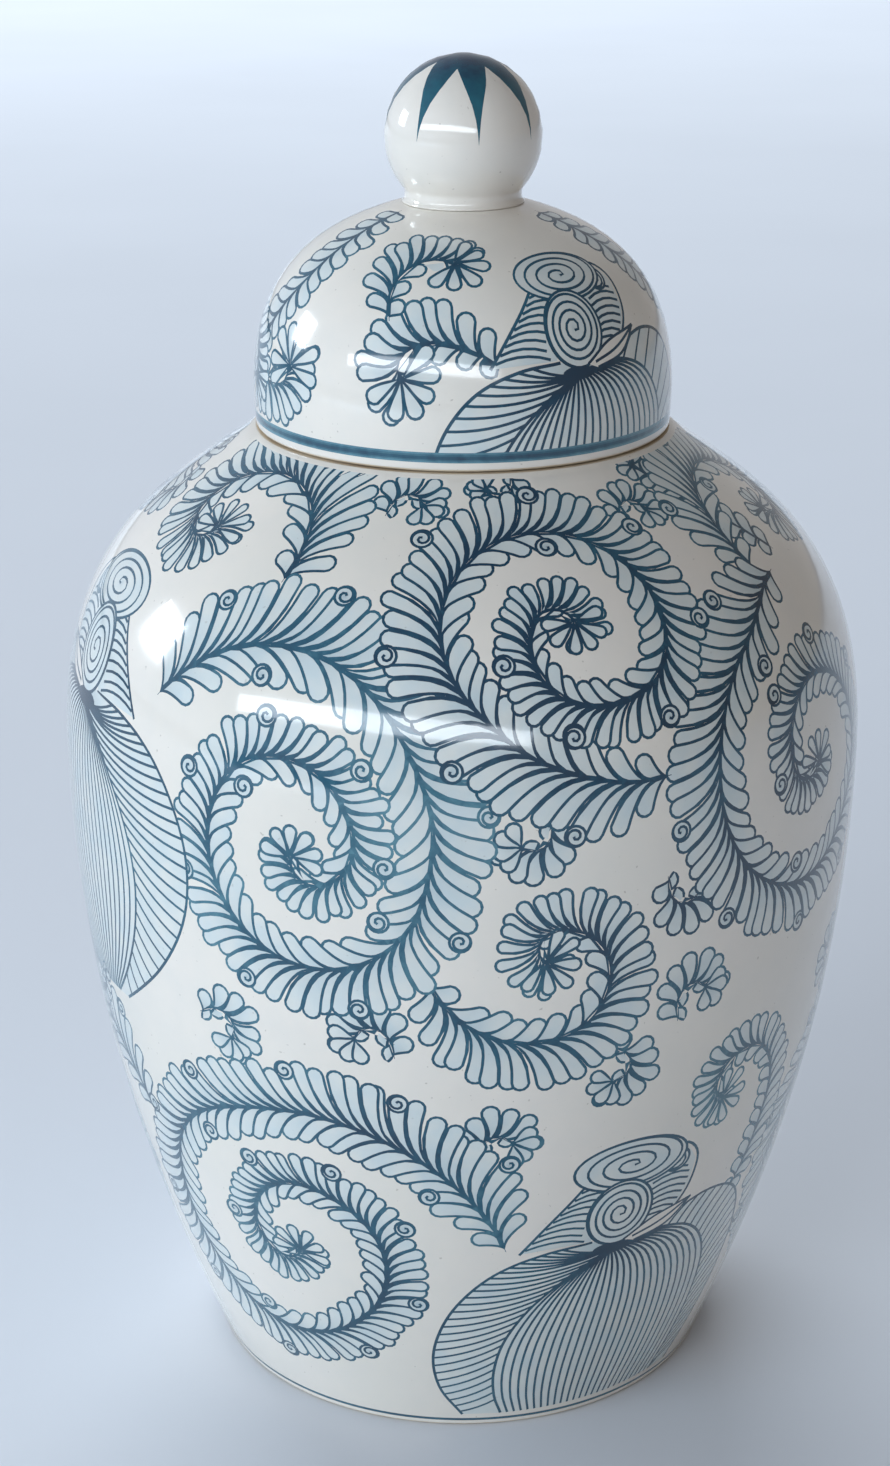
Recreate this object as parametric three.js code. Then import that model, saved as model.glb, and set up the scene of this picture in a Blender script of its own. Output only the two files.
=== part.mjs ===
// A glazed ceramic ginger jar: a hollow body with a short neck, a domed lid that drops over the neck
// and sits on the shoulder, and a ball knob on the lid's crown.
// Millimetres, +Z up. The origin is on the table, under the jar's axis.
import * as THREE from "three";

const TOUCH_GAP = 0.3;
const SEGMENTS = 48;
const WALL_STEPS = 9;
const CORNER_STEPS = 4;
const ROUNDING_STEPS = 2;

// Lid, measured in its own frame: 0 is the plane of its rim.
const LID_RADIUS = 45.85;
const LID_BULGE_HEIGHT = 7.8;
const LID_HEIGHT = 47.9;
const LID_WALL = 3.6;
const LID_RIM_TAPER = 0.35;
const LID_RIM_ROUNDING = 1.1;
const DOME_FULLNESS = 0.52;
const CROWN_FULLNESS = 0.75;
const CROWN_SLOPE = THREE.MathUtils.degToRad(14.7);
const CROWN_MARGIN = 0.5;

// Knob, measured in its own frame: 0 is the plane where it stands on the crown.
const KNOB_RADIUS = 16.95;
const KNOB_NECK_RADIUS = 12.6;
const KNOB_NECK_HEIGHT = 2.6;
const KNOB_FOOT_FLARE = 0.6;

// Body
const FOOT_RADIUS = 58.7;
const FOOT_ROUNDING = 1.2;
const FOOT_RING_WIDTH = 6;
const FOOT_RECESS = 4;
const FOOT_LEAN = THREE.MathUtils.degToRad(67.7);
const FLOOR_THICKNESS = 6;
const FLOOR_CORNER = 10;
const BELLY_RADIUS = 89.8;
const BELLY_HEIGHT = 150;
const SEAT_HEIGHT = 220.6;
const SHOULDER_SLOPE = THREE.MathUtils.degToRad(40);
const FOOT_FULLNESS = 0.33;
const BELLY_FULLNESS_BELOW = 0.375;
const BELLY_FULLNESS_ABOVE = 0.685;
const SHOULDER_FULLNESS = 0.49;
const BODY_WALL = 5;
const SEAT_MARGIN = 0.35;
const NECK_HEIGHT = 15.4;
const NECK_WALL = 4.2;
const NECK_CLEARANCE = 2.2;
const NECK_LIP_ROUNDING = 1.6;
const NECK_ROOT_FILLET = 1.2;

// What fits: the neck stands inside the lid, and the shoulder's seat ends just outside the lid's rim.
const RIM_OUTER_RADIUS = LID_RADIUS - LID_RIM_TAPER;
const RIM_INNER_RADIUS = RIM_OUTER_RADIUS - LID_WALL;
const NECK_RADIUS = RIM_INNER_RADIUS - NECK_CLEARANCE;
const MOUTH_RADIUS = NECK_RADIUS - NECK_WALL;
const SEAT_RADIUS = RIM_OUTER_RADIUS + SEAT_MARGIN;
const CROWN_RADIUS = KNOB_NECK_RADIUS + KNOB_FOOT_FLARE + CROWN_MARGIN;

// A profile point: distance from the axis, then height.
const at = (radius, height) => new THREE.Vector2(radius, height);

// An arc about a centre, from one angle to another, ends included.
function arc(centre, radius, fromDegrees, toDegrees, steps = ROUNDING_STEPS) {
  const points = [];
  for (let i = 0; i <= steps; i++) {
    const degrees = THREE.MathUtils.lerp(fromDegrees, toDegrees, i / steps);
    const angle = THREE.MathUtils.degToRad(degrees);
    points.push(at(centre.x + radius * Math.cos(angle), centre.y + radius * Math.sin(angle)));
  }
  return points;
}

// A smooth sweep that leaves its start and reaches its end along the two handles.
function sweep(start, startHandle, endHandle, end, steps = WALL_STEPS) {
  return new THREE.CubicBezierCurve(start, startHandle, endHandle, end).getPoints(steps);
}

// The same line moved sideways by a wall's thickness, towards its left as it is walked.
function inset(points, wall) {
  return points.map((point, i) => {
    const before = points[Math.max(i - 1, 0)];
    const after = points[Math.min(i + 1, points.length - 1)];
    const along = after.clone().sub(before).normalize();
    return at(point.x - along.y * wall, point.y + along.x * wall);
  });
}

// A solid of revolution about Z from a profile that starts and ends on the axis.
function turned(profile) {
  const geometry = new THREE.LatheGeometry(profile, SEGMENTS);
  geometry.rotateX(Math.PI / 2);
  return geometry;
}

function glazed(color) {
  return new THREE.MeshStandardMaterial({ color, roughness: 0.12, metalness: 0 });
}

// The body's outside from the foot, round the belly and up to the edge of the lid's seat.
function bodyWall() {
  const foot = at(FOOT_RADIUS, FOOT_ROUNDING);
  const belly = at(BELLY_RADIUS, BELLY_HEIGHT);
  const seatEdge = at(SEAT_RADIUS, SEAT_HEIGHT);
  const rise = BELLY_HEIGHT - FOOT_ROUNDING;
  const fall = SEAT_HEIGHT - BELLY_HEIGHT;
  const run = BELLY_RADIUS - SEAT_RADIUS;
  const footHandle = at(
    foot.x + FOOT_FULLNESS * rise * Math.cos(FOOT_LEAN),
    foot.y + FOOT_FULLNESS * rise * Math.sin(FOOT_LEAN),
  );
  const bellyBelow = at(BELLY_RADIUS, BELLY_HEIGHT - BELLY_FULLNESS_BELOW * rise);
  const bellyAbove = at(BELLY_RADIUS, BELLY_HEIGHT + BELLY_FULLNESS_ABOVE * fall);
  const shoulderHandle = at(
    seatEdge.x + SHOULDER_FULLNESS * run * Math.cos(SHOULDER_SLOPE),
    seatEdge.y - SHOULDER_FULLNESS * run * Math.sin(SHOULDER_SLOPE),
  );
  const lower = sweep(foot, footHandle, bellyBelow, belly);
  const upper = sweep(belly, bellyAbove, shoulderHandle, seatEdge);
  return [...lower, ...upper.slice(1)];
}

function jarBody() {
  const floorHeight = FOOT_RECESS + FLOOR_THICKNESS;
  const outside = bodyWall();
  const inside = inset(outside, BODY_WALL).filter((point) => point.y > floorHeight + FLOOR_CORNER);
  const ringInner = FOOT_RADIUS - FOOT_ROUNDING - FOOT_RING_WIDTH;
  const foot = arc(at(FOOT_RADIUS - FOOT_ROUNDING, FOOT_ROUNDING), FOOT_ROUNDING, -90, -30);
  const rootHeight = SEAT_HEIGHT + NECK_ROOT_FILLET;
  const neckRoot = arc(at(NECK_RADIUS + NECK_ROOT_FILLET, rootHeight), NECK_ROOT_FILLET, -90, -180);
  const lipHeight = SEAT_HEIGHT + NECK_HEIGHT - NECK_LIP_ROUNDING;
  const lip = arc(at(NECK_RADIUS - NECK_LIP_ROUNDING, lipHeight), NECK_LIP_ROUNDING, 0, 90);
  const mouthEdge = arc(at(MOUTH_RADIUS + NECK_LIP_ROUNDING, lipHeight), NECK_LIP_ROUNDING, 90, 180);
  const shoulderEnd = inside.at(-1);
  const throat = at(MOUTH_RADIUS, rootHeight);
  const underSeat = sweep(
    shoulderEnd,
    at((shoulderEnd.x + throat.x) / 2, (shoulderEnd.y + SEAT_HEIGHT) / 2),
    at(throat.x, (shoulderEnd.y + throat.y) / 2),
    throat,
    CORNER_STEPS,
  );
  const wallStart = inside[0];
  const floorCorner = new THREE.QuadraticBezierCurve(
    wallStart,
    at(wallStart.x - FLOOR_CORNER / Math.tan(FOOT_LEAN), floorHeight),
    at(wallStart.x - 2 * FLOOR_CORNER, floorHeight),
  ).getPoints(CORNER_STEPS);
  const profile = [
    at(0, FOOT_RECESS),
    at(ringInner - FOOT_RECESS / 2, FOOT_RECESS),
    at(ringInner, 0),
    ...foot,
    ...outside,
    ...neckRoot,
    ...lip,
    ...mouthEdge,
    ...underSeat.reverse(),
    ...inside.slice(1, -1).reverse(),
    ...floorCorner,
    at(0, floorHeight),
  ];
  const mesh = new THREE.Mesh(turned(profile), glazed(0xe4ded4));
  mesh.name = "jar_body";
  return mesh;
}

// The lid's outside from the crown down to the rim.
function lidWall() {
  const crown = at(CROWN_RADIUS, LID_HEIGHT);
  const bulge = at(LID_RADIUS, LID_BULGE_HEIGHT);
  const rise = LID_HEIGHT - LID_BULGE_HEIGHT;
  const run = LID_RADIUS - CROWN_RADIUS;
  const crownHandle = at(
    crown.x + CROWN_FULLNESS * run * Math.cos(CROWN_SLOPE),
    crown.y - CROWN_FULLNESS * run * Math.sin(CROWN_SLOPE),
  );
  const bulgeHandle = at(LID_RADIUS, LID_BULGE_HEIGHT + DOME_FULLNESS * rise);
  return sweep(crown, crownHandle, bulgeHandle, bulge);
}

function lid() {
  const outside = lidWall();
  const inside = inset(outside, -LID_WALL);
  const rimEdge = arc(at(RIM_OUTER_RADIUS - LID_RIM_ROUNDING, LID_RIM_ROUNDING), LID_RIM_ROUNDING, 0, -90);
  const profile = [
    at(0, LID_HEIGHT),
    ...outside,
    ...rimEdge,
    at(RIM_INNER_RADIUS, 0),
    ...inside.reverse(),
    at(0, LID_HEIGHT - LID_WALL),
  ];
  const mesh = new THREE.Mesh(turned(profile.reverse()), glazed(0xe0dad0));
  mesh.name = "lid";
  return mesh;
}

function lidKnob() {
  const neckAngle = -Math.acos(KNOB_NECK_RADIUS / KNOB_RADIUS);
  const centre = at(0, KNOB_NECK_HEIGHT - KNOB_RADIUS * Math.sin(neckAngle));
  const lowerBall = arc(centre, KNOB_RADIUS, THREE.MathUtils.radToDeg(neckAngle), 0, CORNER_STEPS);
  const upperBall = arc(centre, KNOB_RADIUS, 0, 90, 2 * CORNER_STEPS);
  const profile = [
    at(0, 0),
    at(KNOB_NECK_RADIUS + KNOB_FOOT_FLARE, 0),
    at(KNOB_NECK_RADIUS, KNOB_FOOT_FLARE),
    ...lowerBall,
    ...upperBall.slice(1, -1),
    at(0, centre.y + KNOB_RADIUS),
  ];
  const mesh = new THREE.Mesh(turned(profile), glazed(0xdcdad4));
  mesh.name = "lid_knob";
  return mesh;
}

const knob = lidKnob();
knob.position.z = LID_HEIGHT + TOUCH_GAP;

const lidWithKnob = new THREE.Group();
lidWithKnob.position.z = SEAT_HEIGHT + TOUCH_GAP;
lidWithKnob.add(lid(), knob);

const group = new THREE.Group();
group.add(jarBody(), lidWithKnob);

export default group;
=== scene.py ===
# The looks of a glazed ceramic ginger jar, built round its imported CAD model.
# Each piece is one turned mesh. Its painted ornament is drawn as flat shapes on the unrolled wall,
# in painter's order, and the wall's mesh is cut along their outlines, so every line is real geometry.
# Drawing is in millimetres; Blender's objects are in metres.
import math

import bmesh
import bpy
import numpy as np
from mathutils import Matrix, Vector
from mathutils.bvhtree import BVHTree
from mathutils.geometry import delaunay_2d_cdt


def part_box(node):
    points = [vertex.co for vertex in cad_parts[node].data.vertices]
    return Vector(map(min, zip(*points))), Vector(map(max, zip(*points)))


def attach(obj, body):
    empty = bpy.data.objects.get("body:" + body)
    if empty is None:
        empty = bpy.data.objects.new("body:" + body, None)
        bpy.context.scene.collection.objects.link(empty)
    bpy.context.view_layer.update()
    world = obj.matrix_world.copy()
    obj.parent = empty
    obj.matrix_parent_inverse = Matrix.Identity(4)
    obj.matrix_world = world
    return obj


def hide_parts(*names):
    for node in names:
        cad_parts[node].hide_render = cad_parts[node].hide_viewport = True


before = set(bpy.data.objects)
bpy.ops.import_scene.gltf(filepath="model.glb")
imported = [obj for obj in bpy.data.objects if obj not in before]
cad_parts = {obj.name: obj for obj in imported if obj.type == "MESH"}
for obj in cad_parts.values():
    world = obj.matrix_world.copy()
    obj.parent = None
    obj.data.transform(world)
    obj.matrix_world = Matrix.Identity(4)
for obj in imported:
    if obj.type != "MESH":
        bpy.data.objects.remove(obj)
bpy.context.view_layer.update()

MM = 0.001
TAU = 2 * math.pi
RNG = np.random.default_rng(7)

# The body, as in the CAD model
FOOT_RADIUS = 58.7
FOOT_ROUNDING = 1.2
FOOT_RING_WIDTH = 6
FOOT_RECESS = 4
FOOT_LEAN = math.radians(67.7)
FLOOR_THICKNESS = 6
FLOOR_CORNER = 10
BELLY_RADIUS = 89.8
BELLY_HEIGHT = 150
SEAT_HEIGHT = 220.6
SEAT_RADIUS = 45.85
SHOULDER_SLOPE = math.radians(40)
FOOT_FULLNESS = 0.33
BELLY_FULLNESS_BELOW = 0.375
BELLY_FULLNESS_ABOVE = 0.685
SHOULDER_FULLNESS = 0.49
BODY_WALL = 5
NECK_RADIUS = 39.7
MOUTH_RADIUS = 35.5
NECK_HEIGHT = 15.4
NECK_LIP_ROUNDING = 1.6
NECK_ROOT_FILLET = 1.2

# The lid and its knob, as in the CAD model
LID_RADIUS = 45.85
LID_BULGE_HEIGHT = 7.8
LID_HEIGHT = 47.9
LID_WALL = 3.6
LID_RIM_RADIUS = 45.5
LID_RIM_ROUNDING = 1.1
DOME_FULLNESS = 0.52
CROWN_FULLNESS = 0.75
CROWN_RADIUS = 13.7
CROWN_SLOPE = math.radians(14.7)
KNOB_RADIUS = 16.95
KNOB_NECK_RADIUS = 12.6
KNOB_NECK_HEIGHT = 2.6
KNOB_FOOT_FLARE = 0.6
KNOB_FOOT_DROP = 0.22
KNOB_FOOT_HEIGHT = 0.15
KNOB_WALL_FROM = -10
KNOB_WALL_TO = 84

# Mesh. The wall is unrolled at one radius to be cut, and every piece is a hair narrower than its CAD box.
COLUMNS = 180
FIRST_TURN = -math.pi / 2
UNROLL_RADIUS = 90
WALL_ROW = 4.0
FIT_INSIDE = 1 - 2e-5
WELD = 4e-6

# The baked map has a strip for each kind of paint on the wall and one for the rest of the profile.
BAKE_STRIPS = 4
LATHE_STRIP = 3
# Off the wall, ink would be of middling lightness and fully pooled.
PLAIN_PAINT = (0.5, 1.0, 0.0)

# Ornament. It is drawn once and repeats every half turn.
GROUND, WASH, INK, CLAY = range(4)
REPEAT = math.pi
STRAIGHT = 0.012
LONGEST_EDGE = 4.0
LINE = 0.62
SPINE_HALF = 0.16

# A feather's lobes: sizes in millimetres, leans in degrees
LOBE_WIDTH = 3.8
OUTER_LEAN = 41
INNER_LEAN = 39
SHORTEST_STEM = 0.6
NARROWEST = 0.08
FOOT_OVERLAP = 1.2
UNEVEN_SIZE = 0.04
UNEVEN_LEAN = 2.5
GROWN_AFTER = 8
SPREADING = 0.62
CLOSEST = 2.2
WIDEST_APART = 0.55

# The loose lobes round a feather's end
ROSETTE_LEAN = 4
ROSETTE_FIRST = 75
ROSETTE_STEP = 38
ROSETTE_FOOT = np.array([0.3, 0.0])

# How late a lobe turns outward: its shares forward and outward
ROW_BOW = (0.60, 0.18)
ROSETTE_BOW = (0.5, 0.8)

# Snail curls
FIRST_CURL = 3
CURL_RADIUS = 2.5
CURLED_FROM = 9.5
CURLED_LONGER = 1.05

# A pod
POD_DRAWN_DEPTH = 45
RIB_REACH = 15
RIB_SAG = -0.05
RIB_POINTS = 22


# ---------------------------------------------------------------- curves
def bezier(start, start_handle, end_handle, end, steps):
    t = np.linspace(0, 1, steps + 1)[:, None]
    a, b, c, d = (np.array(p, float) for p in (start, start_handle, end_handle, end))
    return (1 - t) ** 3 * a + 3 * (1 - t) ** 2 * t * b + 3 * (1 - t) * t * t * c + t**3 * d


def arc(centre, radius, from_degrees, to_degrees, steps=6):
    angle = np.radians(np.linspace(from_degrees, to_degrees, steps + 1))
    return np.column_stack([centre[0] + radius * np.cos(angle), centre[1] + radius * np.sin(angle)])


def bent(start, control, end, steps):
    """A line from start to end that bends towards a control point."""
    t = np.linspace(0, 1, steps + 1)[:, None]
    return (1 - t) ** 2 * start + 2 * (1 - t) * t * control + t**2 * end


def step_lengths(points):
    """How far apart a line's neighbouring points are."""
    return np.hypot(*np.diff(points, axis=0).T)


def walked(points):
    """How far along a line each of its points is."""
    return np.concatenate([[0], np.cumsum(step_lengths(points))])


def part_way(line, run, at):
    """Places on a line whose points lie at given runs. at is one run or many."""
    return np.stack([np.interp(at, run, line[:, 0]), np.interp(at, run, line[:, 1])], axis=-1)


def moved_left(line, distance):
    """A line moved sideways, to its left as it is walked. distance is one number or one for each point."""
    along = np.gradient(line, axis=0)
    along /= np.maximum(np.hypot(*along.T), 1e-9)[:, None]
    left = np.column_stack([-along[:, 1], along[:, 0]])
    return line + np.broadcast_to(distance, len(line))[:, None] * left


def resampled(points, step):
    """Points a step apart along a line."""
    run = walked(points)
    return part_way(points, run, np.linspace(0, run[-1], max(2, int(round(run[-1] / step)) + 1)))


def through(points, step=1.4):
    """A smooth line through a few points."""
    p = np.array(points, float)
    p = np.vstack([2 * p[0] - p[1], p, 2 * p[-1] - p[-2]])
    t = np.linspace(0, 1, 12, endpoint=False)[:, None]
    parts = []
    for a, b, c, d in zip(p, p[1:], p[2:], p[3:]):
        square, cube = 2 * a - 5 * b + 4 * c - d, 3 * b - a - 3 * c + d
        parts.append(0.5 * (2 * b + (c - a) * t + square * t**2 + cube * t**3))
    parts.append(p[-2:-1])
    return resampled(np.vstack(parts), step)


def spiral(outer, inner, turns, exit_degrees, hand, squash=1.0, step=1.0, ease=1.0):
    """A spiral walked inwards. hand is 1 for one that winds anticlockwise, -1 for clockwise."""
    t = np.linspace(0, 1, max(12, int(turns * 60)))
    radius = inner + (outer - inner) * (1 - t) ** ease
    angle = math.radians(exit_degrees) + hand * t * turns * TAU
    return resampled(np.column_stack([radius * np.cos(angle), squash * radius * np.sin(angle)]), step)


def ribbon(path, width):
    """The outline of a line drawn along a path. width is one number or one for each point."""
    half = np.asarray(width) / 2
    return np.vstack([moved_left(path, -half), moved_left(path, half)[::-1]])


# ---------------------------------------------------------------- turned surfaces
class Turned:
    """A turned surface. A place on it is a turn round the axis, in radians, with 0 at the front, and a
    distance along its closed profile, in millimetres."""

    def __init__(self, before, wall, after, base):
        profile = np.vstack([before, wall, after])
        profile = profile[np.concatenate([[True], step_lengths(profile) > 1e-6])]
        self.radius = profile[:, 0] * FIT_INSIDE
        self.height = profile[:, 1] + base
        self.along = walked(profile)
        self.low = step_lengths(before).sum() + np.hypot(*(wall[0] - before[-1]))
        self.high = self.low + step_lengths(wall).sum()
        self.wall_heights = wall[:, 1] + base
        self.wall_along = self.low + walked(wall)

    def radius_at(self, along):
        return np.interp(along, self.along, self.radius)

    def height_at(self, along):
        return np.interp(along, self.along, self.height)

    def at_height(self, height):
        """How far along the profile the wall reaches a height."""
        return float(np.interp(height, self.wall_heights, self.wall_along))

    def place(self, turn, along):
        radius = self.radius_at(along)
        return np.column_stack([radius * np.sin(turn), -radius * np.cos(turn), self.height_at(along)])

    def normal(self, turn, along, reach=0.15):
        ahead, behind = along + reach, along - reach
        rise = self.height_at(ahead) - self.height_at(behind)
        run = self.radius_at(ahead) - self.radius_at(behind)
        size = np.maximum(np.hypot(rise, run), 1e-9)
        out, up = rise / size, -run / size
        return np.column_stack([out * np.sin(turn), -out * np.cos(turn), up])

    def lay(self, points, turn, along):
        """Flat millimetres round a place, right and up, laid on the surface."""
        points = np.asarray(points, float)
        radius = self.radius_at(along + points[:, 1] / 2)
        return np.column_stack([turn + points[:, 0] / radius, along + points[:, 1]])


def body_surface():
    foot = np.array([FOOT_RADIUS, FOOT_ROUNDING])
    belly = np.array([BELLY_RADIUS, BELLY_HEIGHT])
    seat = np.array([SEAT_RADIUS, SEAT_HEIGHT])
    rise, fall, run = belly[1] - foot[1], seat[1] - belly[1], belly[0] - seat[0]
    lean = np.array([math.cos(FOOT_LEAN), math.sin(FOOT_LEAN)])
    slope = np.array([math.cos(SHOULDER_SLOPE), -math.sin(SHOULDER_SLOPE)])
    above_foot = foot + FOOT_FULLNESS * rise * lean
    above_seat = seat + SHOULDER_FULLNESS * run * slope
    lower = bezier(foot, above_foot, belly - [0, BELLY_FULLNESS_BELOW * rise], belly, 160)
    upper = bezier(belly, belly + [0, BELLY_FULLNESS_ABOVE * fall], above_seat, seat, 120)
    wall = np.vstack([lower, upper[1:]])

    ring_inner = FOOT_RADIUS - FOOT_ROUNDING - FOOT_RING_WIDTH
    recess = ring_inner - FOOT_RECESS / 2
    before = np.vstack(
        [
            [(0, FOOT_RECESS), (recess / 3, FOOT_RECESS), (recess * 2 / 3, FOOT_RECESS)],
            arc((recess - 1, FOOT_RECESS - 1), 1, 90, 45, 3),
            arc((ring_inner + 0.8, 0.8), 0.8, 200, 270, 3),
            arc((FOOT_RADIUS - FOOT_ROUNDING, FOOT_ROUNDING), FOOT_ROUNDING, -90, -15, 5),
        ]
    )
    floor = FOOT_RECESS + FLOOR_THICKNESS
    inside = moved_left(wall, BODY_WALL)
    inside = resampled(inside[inside[:, 1] > floor + FLOOR_CORNER], 7)
    root = SEAT_HEIGHT + NECK_ROOT_FILLET
    lip = SEAT_HEIGHT + NECK_HEIGHT - NECK_LIP_ROUNDING
    end, start = inside[-1], inside[0]
    throat = np.array([MOUTH_RADIUS, root])
    past_end = ((end[0] + throat[0]) / 2, (end[1] + SEAT_HEIGHT) / 2)
    under = bezier(end, past_end, (throat[0], (end[1] + root) / 2), throat, 8)
    corner_point = np.array([start[0] - FLOOR_CORNER / math.tan(FOOT_LEAN), floor])
    corner_end = np.array([start[0] - 2 * FLOOR_CORNER, floor])
    past_start, past_corner = (point + (corner_point - point) * 2 / 3 for point in (start, corner_end))
    corner = bezier(start, past_start, past_corner, corner_end, 8)
    after = np.vstack(
        [
            [(SEAT_RADIUS - 0.4, SEAT_HEIGHT)],
            arc((NECK_RADIUS + NECK_ROOT_FILLET, root), NECK_ROOT_FILLET, -90, -180, 5),
            arc((NECK_RADIUS - NECK_LIP_ROUNDING, lip), NECK_LIP_ROUNDING, 0, 90, 6),
            arc((MOUTH_RADIUS + NECK_LIP_ROUNDING, lip), NECK_LIP_ROUNDING, 90, 180, 6),
            under[::-1],
            inside[1:-1][::-1],
            corner,
            [(corner_end[0] / 2, floor), (0, floor)],
        ]
    )
    return Turned(before, wall, after, 0)


def lid_surface(base):
    crown = np.array([CROWN_RADIUS, LID_HEIGHT])
    bulge = np.array([LID_RADIUS, LID_BULGE_HEIGHT])
    rise, run = crown[1] - bulge[1], bulge[0] - crown[0]
    slope = np.array([math.cos(CROWN_SLOPE), -math.sin(CROWN_SLOPE)])
    dome = bezier(bulge, bulge + [0, DOME_FULLNESS * rise], crown + CROWN_FULLNESS * run * slope, crown, 160)
    rim = np.array([[LID_RIM_RADIUS, LID_RIM_ROUNDING]])
    wall = np.vstack([resampled(np.vstack([rim, dome[:1]]), 1), dome[1:]])
    inside = resampled(moved_left(wall, LID_WALL), 4)
    rim_inner = LID_RIM_RADIUS - LID_WALL
    inside = inside[(inside[:, 1] > 2) & (inside[:, 0] > 4)]
    before = np.vstack(
        [
            [(0, LID_HEIGHT - LID_WALL), (2, LID_HEIGHT - LID_WALL)],
            inside[::-1],
            arc((rim_inner + 0.8, 0.8), 0.8, 180, 270, 4),
            arc((LID_RIM_RADIUS - LID_RIM_ROUNDING, LID_RIM_ROUNDING), LID_RIM_ROUNDING, -90, -15, 5),
        ]
    )
    after = np.array([(CROWN_RADIUS - 1.5, LID_HEIGHT), (CROWN_RADIUS / 2, LID_HEIGHT), (0, LID_HEIGHT)])
    return Turned(before, wall, after, base)


def knob_surface(base):
    neck_degrees = -math.degrees(math.acos(KNOB_NECK_RADIUS / KNOB_RADIUS))
    centre = (0, KNOB_NECK_HEIGHT - KNOB_RADIUS * math.sin(math.radians(neck_degrees)))
    neck = KNOB_NECK_RADIUS
    foot = neck + KNOB_FOOT_FLARE
    before = np.vstack(
        [
            [(radius, -KNOB_FOOT_DROP) for radius in (0, foot / 2, foot - 0.1)],
            bezier((foot, KNOB_FOOT_HEIGHT), (foot - 0.35, 0.35), (neck, 0.7), (neck, 1.7), 5),
            bezier((neck, 2.0), (neck, 2.4), (neck + 0.15, 2.8), (neck + 0.5, 3.18), 4)[:-1],
            arc(centre, KNOB_RADIUS, neck_degrees + 3, KNOB_WALL_FROM, 8)[:-1],
        ]
    )
    wall = arc(centre, KNOB_RADIUS, KNOB_WALL_FROM, KNOB_WALL_TO, KNOB_WALL_TO - KNOB_WALL_FROM)
    after = np.vstack([arc(centre, KNOB_RADIUS, KNOB_WALL_TO + 1, 89, 2), [(0, centre[1] + KNOB_RADIUS)]])
    return Turned(before, wall, after, base)


# ---------------------------------------------------------------- drawing
class Painting:
    """Flat shapes laid on the unrolled wall of a turned surface, in painter's order."""

    def __init__(self, surface, margin):
        self.surface = surface
        self.low = surface.low + margin[0]
        self.high = surface.high - margin[1]
        self.shapes = []

    def paint(self, places, kind, tone, root, reach):
        """tone goes from dark to light ink, and the colour pools round the root, out to its reach."""
        along = np.clip(places[:, 1], self.low, self.high)
        for shift in (-REPEAT, 0, REPEAT):
            turns = places[:, 0] + shift
            if turns.min() < REPEAT / 2 and turns.max() > -REPEAT / 2:
                outline = np.column_stack([turns, along])
                self.shapes.append((outline, kind, tone, (root[0] + shift, root[1]), reach))

    def band(self, low, high, tone):
        """A line painted all the way round."""
        turns = np.linspace(-REPEAT / 2, REPEAT / 2, COLUMNS // 2 + 1)
        edge = np.concatenate([turns, turns[::-1]])
        along = np.concatenate([np.full(len(turns), low), np.full(len(turns), high)])
        self.shapes.append((np.column_stack([edge, along]), INK, tone, (0, low), 0.01))


class Motif:
    """A place to draw at. Flat millimetres round it are scaled, mirrored, turned and laid on the surface."""

    def __init__(self, painting, degrees, along, heading=0, mirror=1, scale=1, tone=0.4):
        self.painting = painting
        self.turn = math.remainder(math.radians(degrees), REPEAT)
        self.along = along
        self.heading = math.radians(heading)
        self.mirror = mirror
        self.scale = scale
        self.tone = tone

    def places(self, points):
        x, y = (np.asarray(points, float) * self.scale).T
        x = x * self.mirror
        c, s = math.cos(self.heading), math.sin(self.heading)
        turned = np.column_stack([c * x - s * y, s * x + c * y])
        return self.painting.surface.lay(turned, self.turn, self.along)

    def fill(self, points, kind=WASH, root=(0, 0), reach=14.0):
        self.painting.paint(self.places(points), kind, self.tone, self.places([root])[0], reach)

    def line(self, path, width=LINE, root=(0, 0), reach=14.0):
        self.fill(ribbon(np.asarray(path, float), np.asarray(width) / self.scale), INK, root, reach)

    def spine(self, points):
        return Spine(self.painting.surface, self.places(points))


class Spine:
    """A curve over a surface, walked by its length."""

    def __init__(self, surface, places):
        self.surface = surface
        self.turn, self.along = places.T
        radius = surface.radius_at(self.along)
        across = np.diff(self.turn) * (radius[1:] + radius[:-1]) / 2
        up = np.diff(self.along)
        self.run = np.concatenate([[0], np.cumsum(np.hypot(across, up))])
        heading = np.unwrap(np.arctan2(up, across))
        self.heading = np.concatenate([[heading[0]], (heading[1:] + heading[:-1]) / 2, [heading[-1]]])
        self.length = self.run[-1]

    def at(self, run):
        return [float(np.interp(run, self.run, value)) for value in (self.turn, self.along, self.heading)]

    def beside(self, run, next_run, side):
        """The way from one place on it to another, forward and outward as seen from the first."""
        turn, along, heading = self.at(run)
        next_turn, next_along, _ = self.at(next_run)
        across = (next_turn - turn) * self.surface.radius_at((along + next_along) / 2)
        up = next_along - along
        c, s = math.cos(heading), math.sin(heading)
        return np.array([c * across + s * up, side * (c * up - s * across)])

    def bend(self, run, reach=2.5):
        """How sharply it turns, in radians a millimetre; left is positive."""
        ahead, behind = min(run + reach, self.length), max(run - reach, 0)
        turned = np.interp(ahead, self.run, self.heading) - np.interp(behind, self.run, self.heading)
        return turned / max(ahead - behind, 0.1)


def swept(root, end, bow, steps):
    """One long edge of a lobe, from its root to its end."""
    return bent(root, root + (end - root) * bow, end, steps)


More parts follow.
